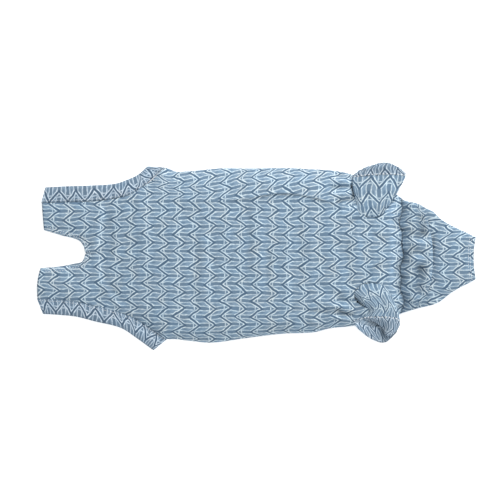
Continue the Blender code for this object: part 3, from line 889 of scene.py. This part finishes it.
# share of the opening's length, the free edge's x and y, then the sewn edge's x and y, from the
# tab's end to the tip
BAND_RIGHT = (
    (0.0, -242.4, 81.5, -247.0, 63.6),
    (0.17, -218.5, 82.7, -218.5, 64.4),
    (0.35, -193.2, 83.4, -193.2, 65.3),
    (0.56, -164.0, 85.3, -166.8, 68.1),
    (0.7, -150.3, 89.6, -148.3, 72.2),
    (0.83, -137.2, 95.6, -132.2, 81.4),
    (1.0, -126.2, 105.6, -106.7, 104.4),
)
BAND_LEFT = (
    (0.0, -245.2, -63.9, -252.0, -46.2),
    (0.14, -226.5, -65.0, -226.5, -47.5),
    (0.28, -207.6, -66.9, -207.6, -49.7),
    (0.45, -185.5, -72.4, -184.0, -55.2),
    (0.67, -156.2, -79.8, -159.8, -61.2),
    (0.82, -138.0, -91.7, -134.5, -72.1),
    (1.0, -119.6, -105.5, -103.5, -92.2),
)


def band_point(rows, turn, across):
    """A point of a leg band: turn goes once round the opening, across from seam to free edge."""
    angle = 2 * math.pi * turn
    share = 0.5 - 0.5 * math.cos(angle)
    free_x, free_y, sewn_x, sewn_y = through(rows, share)
    x = sewn_x + (free_x - sewn_x) * across
    y = sewn_y + (free_y - sewn_y) * across
    # the upper half stands open in the middle of the leg opening, and the lower half lies flat
    seam_z = through(BELLY_LEVELS, sewn_x)[2] + 0.7
    free_z = 4.0 + 4.8 * math.sin(math.pi * share) ** 0.8
    top = seam_z + (free_z - seam_z) * across + 0.8 * math.sin(math.pi * across) - 1.0 * across**6
    upper = math.copysign(abs(math.sin(angle)) ** 0.35, math.sin(angle))
    low = 1.05
    z = low + (top - low) * (0.5 + 0.5 * upper)
    pucker = 0.22 * math.sin(2 * math.pi * x / 6.5) * (1 - across) * max(0.0, upper)
    end = 1.0 - abs(upper)
    x += end * (-0.8 if share < 0.5 else 0.8)
    return Vector((x, y, z + pucker + 0.3 * max(0.0, upper) * noise.noise(Vector((x / 9, y / 9, 5.0)))))


# the same print as the body's, in slightly darker colours
band_jersey = jersey("band jersey", (130, 153, 174), (224, 240, 253), (82, 105, 128))
BAND_CLOTH = 1.4
BAND_COLUMNS = 180
BAND_ROWS = 10
SEAM_STITCHES = 0.13
# side, its table, where its pattern starts in the print, its fullness, and whether the right side
# of its cloth has to be turned out
for side_name, band_rows, cut_x, cut_y, fullness, turn_out in (
    ("right", BAND_RIGHT, 8.6, -1.5, 0.9, False),
    ("left", BAND_LEFT, 6.0, -3.0, 0.97, True),
):
    def band_place(a, b):
        return band_point(band_rows, a, b)

    strip = cloth_piece(BAND_COLUMNS, BAND_ROWS, band_place, 0, cut_x, cut_y, turned=True, fullness=fullness)
    bmesh.ops.remove_doubles(strip, verts=strip.verts, dist=0.05 * MM)
    if turn_out:
        bmesh.ops.reverse_faces(strip, faces=strip.faces)
    band = finish_cloth(
        "leg_band_cloth_" + side_name,
        strip,
        "leg_band_" + side_name,
        (band_jersey, wrong_side),
        thickness=BAND_CLOTH,
        edge_shade_depth=0.6,
    )
    seam = [band_point(band_rows, 0.02 + 0.46 * n / 60, SEAM_STITCHES) for n in range(61)]
    seam_stitches = sew("band_stitches_" + side_name, band, [seam])


# Collar: a tapered neck tube of the same jersey, sewn to both panels in the dark valley at its
# root. Its root end is rolled forward, and the roll's edge lies over the smooth outer part.

# length of the tube, x of its end, and its net
COLLAR_LENGTH = 83.8
COLLAR_END = 250.0
COLLAR_COLUMNS = 96
COLLAR_ROWS = 132
# share of the cloth's length, then x and z of the middle of the top layer
COLLAR_ROLL = (
    (0.0, 166.2, 4.0),
    (0.035, 168.6, 6.6),
    (0.07, 171.2, 9.8),
    (0.12, 175.0, 12.8),
    (0.17, 179.4, 14.2),
    (0.25, 186.5, 13.4),
    (0.32, 193.4, 13.6),
    (0.37, 198.6, 13.0),
    (0.405, 201.3, 11.2),
    (0.435, 200.3, 9.3),
    (0.47, 196.5, 7.6),
    (0.51, 194.8, 6.0),
    (0.55, 197.5, 5.3),
    (0.6, 203.0, 5.4),
    (0.67, 212.0, 8.2),
    (0.78, 225.0, 9.3),
    (0.9, 240.3, 8.2),
    (1.0, 249.5, 7.2),
)
# the collar's right and left edge: x, y
COLLAR_RIGHT_EDGE = (
    (165.0, 68.6),
    (171.2, 65.9),
    (184.6, 62.8),
    (194.8, 57.2),
    (203.1, 53.1),
    (210.2, 45.8),
    (219.5, 39.7),
    (233.9, 32.5),
    (251.3, 23.6),
)
COLLAR_LEFT_EDGE = (
    (165.0, -63.4),
    (184.6, -57.5),
    (207.0, -51.3),
    (223.6, -39.2),
    (235.7, -32.0),
    (251.3, -23.4),
)
# folds and creases of the collar: from x, y to x, y, half width, height
COLLAR_FOLDS = (
    (156.9, -57.8, 182.5, -51.6, 2.6, -2.6),
    (188.0, 48.0, 190.5, 26.0, 6.0, -6.0),
    (187.0, -8.0, 184.0, -40.0, 6.4, -6.2),
    (178.0, 46.0, 190.0, 40.0, 2.6, 1.6),
    (175.0, 30.0, 186.0, 24.0, 2.8, -1.3),
    (176.0, 21.0, 192.0, 15.0, 3.0, 1.0),
    (174.0, 11.0, 190.0, 6.0, 2.8, -1.4),
    (176.0, 1.0, 190.0, 0.0, 3.0, 0.9),
    (174.0, -12.0, 182.0, -14.0, 2.8, 1.2),
    (172.0, -24.0, 182.0, -26.0, 2.6, 1.3),
    (174.0, -42.0, 190.0, -46.0, 2.8, 1.4),
)


def collar_point(share, turn):
    """A point of the neck tube: turn 0 to 0.5 goes over the top, 0.5 to 1 back underneath."""
    angle = 2 * math.pi * turn
    side = math.copysign(abs(math.cos(angle)) ** 0.78, math.cos(angle))
    lift = math.copysign(abs(math.sin(angle)) ** 0.62, math.sin(angle))
    roll_x, roll_z = through(COLLAR_ROLL, share)
    plain_x = NECK_SEAM + COLLAR_LENGTH * share
    bent = 11.0 * abs(side) ** 2.2 * math.exp(-(((share - 0.4) / 0.16) ** 2))
    top_share = max(0.0, lift) * (1 - abs(side) ** 3)
    x = plain_x + (roll_x - plain_x) * top_share - bent
    x = min(x, COLLAR_END)
    low = through(COLLAR_LEFT_EDGE, x)[0]
    high = through(COLLAR_RIGHT_EDGE, x)[0]
    y = (low + high) / 2 + (high - low) / 2 * side
    side_z = 2.6 + 1.4 * math.sin(math.pi * share)
    if lift > 0:
        z = side_z + (roll_z - side_z) * lift
        z += top_share * (fold_height(COLLAR_FOLDS, x, y) + 0.5 * slack(x, y, 9.0) + neck_pucker(x, y))
    else:
        z = side_z + (side_z - 1.2) * lift
    # its root wavers with the neck's seam, and its end is cut hollow
    near = 0.2
    if share < near:
        x += neck_waver(y) * (1 - share / near)
    end = max(0.0, share - 0.8) / near
    x += end * (2.2 * (abs(y) / 24) ** 2 - 1.0)
    return Vector((x, y, z))


def collar_place(a, b):
    """The collar's cloth: its long sides meet in the middle of the under layer."""
    return collar_point(a, (0.75 - b) % 1.0)


def close_tube(bm):
    """Joins the long sides of a tube's cloth, and turns its right side out."""
    bmesh.ops.remove_doubles(bm, verts=bm.verts, dist=0.05 * MM)
    bmesh.ops.recalc_face_normals(bm, faces=bm.faces)


neck_tube = cloth_piece(
    COLLAR_COLUMNS, COLLAR_ROWS, collar_place, COLLAR_ROWS // 2, cut_x=NECK_SEAM, cut_y=CENTRE_LINE
)
close_tube(neck_tube)


def collar_painted_shade(place):
    """Painted shade at the neck seam and all over the roll, and a painted shadow just under the roll's edge.
    """
    on_roll = 0.8 * clamped((200.0 - place.x) / 3.0)
    under_edge = 1.5 * math.exp(-(((place.x - 202.6) / 1.5) ** 2) - ((place.y - 13.0) / 16.0) ** 4)
    return neck_painted_shade(place) + on_roll + under_edge


collar_cloth = finish_cloth(
    "collar_cloth",
    neck_tube,
    "collar",
    (body_jersey, wrong_side),
    painted_shading=collar_painted_shade,
)
hem_rows = [[collar_point(share, n / 50) for n in range(51)] for share in (0.925, 0.95)]
collar_stitches = sew("collar_stitches", collar_cloth, hem_rows)


# Sleeves and cuffs: short tubes for the front legs, sewn into the armholes with the print turned
# a quarter, flopped outwards. Each ends in a turned hem whose row of pale stitches is its crest.

# rings of eight points from the armhole to the free edge, starting on the collar's side and going
# over the top; the first four are the sleeve, the last three the cuff
SLEEVE_RIGHT = (
    ((148.9, 61.3, 12), (143.8, 50.9, 15), (131.1, 46.9, 15.6), (117.3, 50.9, 15.2),
     (113.3, 61.3, 13), (118.4, 72.8, 10.5), (131.1, 77.4, 8.5), (143.8, 72.8, 9.5)),
    ((154.1, 65.9, 13.5), (144.9, 60.3, 17.2), (131.1, 56.8, 17.8), (117.3, 60.3, 17),
     (112.1, 67.0, 13), (117.3, 70.5, 9), (131.1, 73.9, 8.5), (144.9, 70.5, 9)),
    ((163.3, 79.7, 13.5), (151.8, 78.5, 18.6), (134.5, 76.2, 19.6), (117.3, 78.5, 18.4),
     (109.8, 82.0, 11), (118.4, 84.3, 7), (134.5, 84.3, 6), (151.8, 82.0, 8)),
    ((170.2, 94.6, 13.5), (157.5, 95.8, 18.2), (140.3, 95.8, 19.4), (121.9, 94.6, 17.5),
     (109.8, 93.5, 10.5), (120.7, 99.2, 6), (139.1, 100.4, 4.5), (157.5, 98.1, 7)),
    ((168.5, 98.7, 12.5), (157.5, 102.1, 16.6), (141.4, 103.8, 17.6), (124.2, 100.4, 15.5),
     (112.1, 96.4, 10.5), (123.0, 103.8, 6.5), (140.3, 106.1, 5), (157.5, 103.8, 7.5)),
    ((165.6, 101.5, 11.5), (158.7, 106.1, 13.5), (146.0, 109.6, 14), (129.9, 106.1, 12.5),
     (116.1, 98.1, 10.5), (127.6, 104.4, 8), (143.8, 107.3, 7), (157.5, 105.0, 9)),
)
SLEEVE_LEFT = (
    ((150.6, -41.1, 12), (144.9, -29.6, 15), (126.0, -26.7, 15.8), (106.5, -28.5, 15),
     (102.9, -34.9, 12.5), (115.0, -51.4, 9), (131.1, -57.2, 7), (144.9, -52.6, 9)),
    ((155.6, -46.7, 13.5), (148.2, -39.6, 18), (132.0, -38.5, 18.6), (115.5, -39.6, 17.4),
     (112.0, -46.5, 12), (121.6, -54.9, 8), (134.2, -58.3, 6.5), (147.0, -54.9, 8)),
    ((160.6, -59.2, 13.5), (154.5, -55.6, 19), (142.7, -54.6, 20), (132.3, -56.0, 18),
     (127.4, -62.3, 12), (131.0, -64.8, 8.5), (139.5, -67.2, 6), (151.3, -64.9, 7)),
    ((163.2, -71.0, 13), (153.9, -67.4, 18.5), (137.8, -66.7, 19.5), (124.2, -67.5, 12.8),
     (111.7, -71.1, 10), (119.6, -75.0, 9.5), (134.5, -77.9, 8.0), (154.1, -76.7, 6)),
    ((163.8, -75.7, 12), (155.0, -79.7, 15.4), (140.6, -72.3, 15.8), (126.9, -69.4, 12.4),
     (112.0, -73.0, 9.8), (123.0, -83.6, 10.0), (139.0, -88.6, 7.5), (155.1, -84.5, 6)),
    ((160.4, -83.2, 10.5), (149.5, -90.0, 12.0), (141.6, -77.9, 13.0), (129.4, -71.4, 11.4),
     (112.0, -74.3, 9.6), (126.6, -89.8, 9.6), (143.4, -96.6, 6.0), (153.9, -91.5, 5.5)),
)


def ring_point(ring, turn):
    """A point on the smooth closed curve through a ring's points."""
    count = len(ring)
    k = math.floor(turn * count)
    t = turn * count - k
    a, b, c, d = (Vector(ring[(k + n) % count]) for n in (-1, 0, 1, 2))
    bend = 2 * a - 5 * b + 4 * c - d
    swing = 3 * b - a - 3 * c + d
    return 0.5 * (2 * b + (c - a) * t + bend * t**2 + swing * t**3)


def sleeve_point(rings, place, turn):
    """A point of a sleeve: place counts rings from the armhole."""
    ring_rows = [(n, *ring_point(ring, turn)) for n, ring in enumerate(rings)]
    return Vector(through(ring_rows, place))


def crumple(bm, seed, depth, size):
    """Moves the cloth in and out along its own facing in small folds."""
    bm.normal_update()
    shifts = {}
    for vert in bm.verts:
        spot = vert.co / MM
        spot = Vector((spot.x, spot.y / 2.3, spot.z / 1.7)) / size
        broad = noise.noise(spot + Vector((0.0, 0.0, seed)))
        small = noise.noise(2 * spot + Vector((0.0, 0.0, seed + 4)))
        shifts[vert] = vert.normal * (broad * depth + small * depth * 0.2) * MM
    for vert, shift in shifts.items():
        vert.co += shift


def right_cuff_painted_shade(place):
    """Painted shade evenly all over the right cuff."""
    return 0.8


def left_cuff_painted_shading(place):
    """The left cuff gapes: a painted highlight lies on its near lip, painted shade in the deep cleft beside
    it, and a little painted light over all.
    """
    lip = math.exp(-(((place.x - 121.0) / 8.0) ** 2) - ((place.y + 77.0) / 5.0) ** 2)
    cleft = math.exp(-(((place.x - 145.0) / 3.4) ** 2) - ((place.y + 83.0) / 8.0) ** 2)
    # painted shade in the cleft, painted light on the near lip and a little over the whole cuff
    return 2.2 * cleft - 0.8 * lip - 0.4


# the crest, where the cuff turns back, is the fourth ring. The cuff starts just before it.
CREST = 3
CUFF_START = 2.92
CUFF_END = 5
CREST_STITCHES = 3.03
SLEEVE_COLUMNS, SLEEVE_ROWS = 110, 34
CUFF_COLUMNS, CUFF_ROWS = 140, 14
CUFF_CLOTH = 1.3
# side, its rings, where its pattern starts in the print, fullness and lean, the seed of its small
# folds, how deep they are on the cuff, and the cuff's painted shade and light
for side_name, rings, cut_x, cut_y, fullness, lean, seed, cuff_folds, painted_shading in (
    ("right", SLEEVE_RIGHT, -9.0, -3.0, 0.85, -0.18, 11.0, 1.3, right_cuff_painted_shade),
    ("left", SLEEVE_LEFT, 0.0, 0.0, 1.2, 0.0, 23.0, 0.7, left_cuff_painted_shading),
):
    def sleeve_place(a, b):
        return sleeve_point(rings, CREST * b, a % 1.0)

    def cuff_place(a, b):
        return sleeve_point(rings, CUFF_START + (CUFF_END - CUFF_START) * b, a % 1.0)

    sleeve_name = "sleeve_cloth_" + side_name
    sleeve_tube = cloth_piece(
        SLEEVE_COLUMNS, SLEEVE_ROWS, sleeve_place, SLEEVE_ROWS, cut_x, cut_y,
        turned=True, fullness=fullness, lean=lean,
    )
    close_tube(sleeve_tube)
    crumple(sleeve_tube, seed, 0.9, 7.0)
    sleeve = finish_cloth(
        sleeve_name, sleeve_tube, "sleeve_" + side_name, (body_jersey, wrong_side)
    )

    cuff_tube = cloth_piece(
        CUFF_COLUMNS, CUFF_ROWS, cuff_place, 0, 0.0, 4.0,
        turned=True, fullness=fullness * 1.3, lean=lean,
    )
    close_tube(cuff_tube)
    crumple(cuff_tube, seed, cuff_folds, 3.4)
    cuff = finish_cloth(
        "cuff_cloth_" + side_name,
        cuff_tube,
        "cuff_" + side_name,
        (band_jersey, band_jersey),
        thickness=CUFF_CLOTH,
        edge_shade_depth=1.2,
        painted_shading=painted_shading,
    )
    crest = [sleeve_point(rings, CREST_STITCHES, (n % 90) / 90) for n in range(91)]
    crest_name = "cuff_stitches_" + side_name
    crest_stitches = sew(crest_name, cuff, [crest], spacing=4.2, width=1.5)
